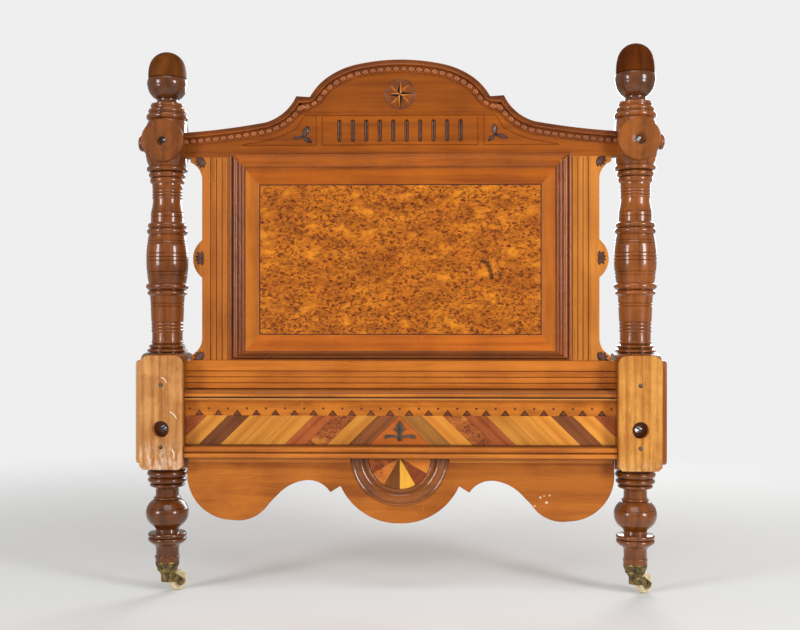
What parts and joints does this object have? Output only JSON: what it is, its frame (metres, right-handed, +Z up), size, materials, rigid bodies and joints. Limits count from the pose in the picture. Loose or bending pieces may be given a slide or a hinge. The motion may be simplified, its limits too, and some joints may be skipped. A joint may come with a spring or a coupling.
{
  "type": "cot end",
  "caption": "Head or foot end of a Victorian child's cot: turned wooden posts on swivelling brass castors, joined by an arched, panelled board with inlay and carving.",
  "frame": {"origin": "on the floor, at the middle of the cot end's length and of its whole depth", "axes": "+X along the cot end, to the right when its decorated face is looked at; +Y from the decorated face towards the inside of the cot; +Z up"},
  "size_m": [0.872, 0.0864, 0.91],
  "materials": {
    "post_wood": "satin varnish",
    "finial_wood": "satin varnish",
    "board_wood": "satin varnish",
    "moulding_wood": "gloss varnish",
    "bare_wood": "bare and worn",
    "dark_wood": "satin varnish",
    "light_wood": "satin varnish",
    "red_wood": "satin varnish",
    "burl_wood": "gloss varnish",
    "ebony": "satin varnish",
    "brass": "tarnished",
    "porcelain": "glazed and worn",
    "steel": "dull"
  },
  "bodies": {
    "cot_end": {"left_post": "post_wood", "right_post": "post_wood", "left_finial": "finial_wood", "right_finial": "finial_wood", "left_rail_pad": "bare_wood", "right_rail_pad": "bare_wood", "pad_screws": "steel", "left_boss_disc": "post_wood", "right_boss_disc": "post_wood", "left_side_tablet": "board_wood", "right_side_tablet": "board_wood", "left_side_roundel": "post_wood", "right_side_roundel": "post_wood", "left_castor_cup": "brass", "right_castor_cup": "brass", "crest_board": "board_wood", "crest_edge_moulding": "dark_wood", "crest_bead_row": "dark_wood", "rosette_disc": "dark_wood", "rosette_star": "light_wood", "left_crest_leaf": "dark_wood", "right_crest_leaf": "dark_wood", "left_stile": "board_wood", "right_stile": "board_wood", "reeded_rail": "board_wood", "panel_moulding_top": "moulding_wood", "panel_moulding_bottom": "moulding_wood", "panel_moulding_left": "moulding_wood", "panel_moulding_right": "moulding_wood", "panel_border_top": "board_wood", "panel_border_bottom": "board_wood", "panel_border_left": "light_wood", "panel_border_right": "board_wood", "burl_veneer": "burl_wood", "panel_ground": "board_wood", "box_rail": "board_wood", "cornice_moulding": "board_wood", "ebony_line": "ebony", "frieze_strip": "board_wood", "marquetry_light": "light_wood", "marquetry_brown": "dark_wood", "marquetry_red": "red_wood", "marquetry_burl": "burl_wood", "marquetry_centre": "red_wood", "sprig": "ebony", "lower_moulding": "board_wood", "apron_board": "board_wood", "half_round_moulding": "moulding_wood", "fan_dark": "dark_wood", "fan_warm": "red_wood", "fan_light": "light_wood"},
    "left_castor_fork": {"left_castor_horn": "brass", "left_castor_axle": "steel"},
    "left_wheel": {"left_castor_wheel": "porcelain"},
    "right_castor_fork": {"right_castor_horn": "brass", "right_castor_axle": "steel"},
    "right_wheel": {"right_castor_wheel": "porcelain"}
  },
  "joints": [
    {"name": "left_castor_swivel", "type": "hinge", "parent": "cot_end", "child": "left_castor_fork", "pos_m": [-0.3885, 0.00675, 0.03], "axis": [0, 0, 1], "continuous": true},
    {"name": "left_castor_roll", "type": "hinge", "parent": "left_castor_fork", "child": "left_wheel", "pos_m": [-0.37557, 0.02455, 0.017], "axis": [-0.809, 0.5878, 0], "continuous": true},
    {"name": "right_castor_swivel", "type": "hinge", "parent": "cot_end", "child": "right_castor_fork", "pos_m": [0.3885, 0.00675, 0.03], "axis": [0, 0, 1], "continuous": true},
    {"name": "right_castor_roll", "type": "hinge", "parent": "right_castor_fork", "child": "right_wheel", "pos_m": [0.4051, 0.02118, 0.017], "axis": [-0.6561, 0.7547, 0], "continuous": true}
  ]
}
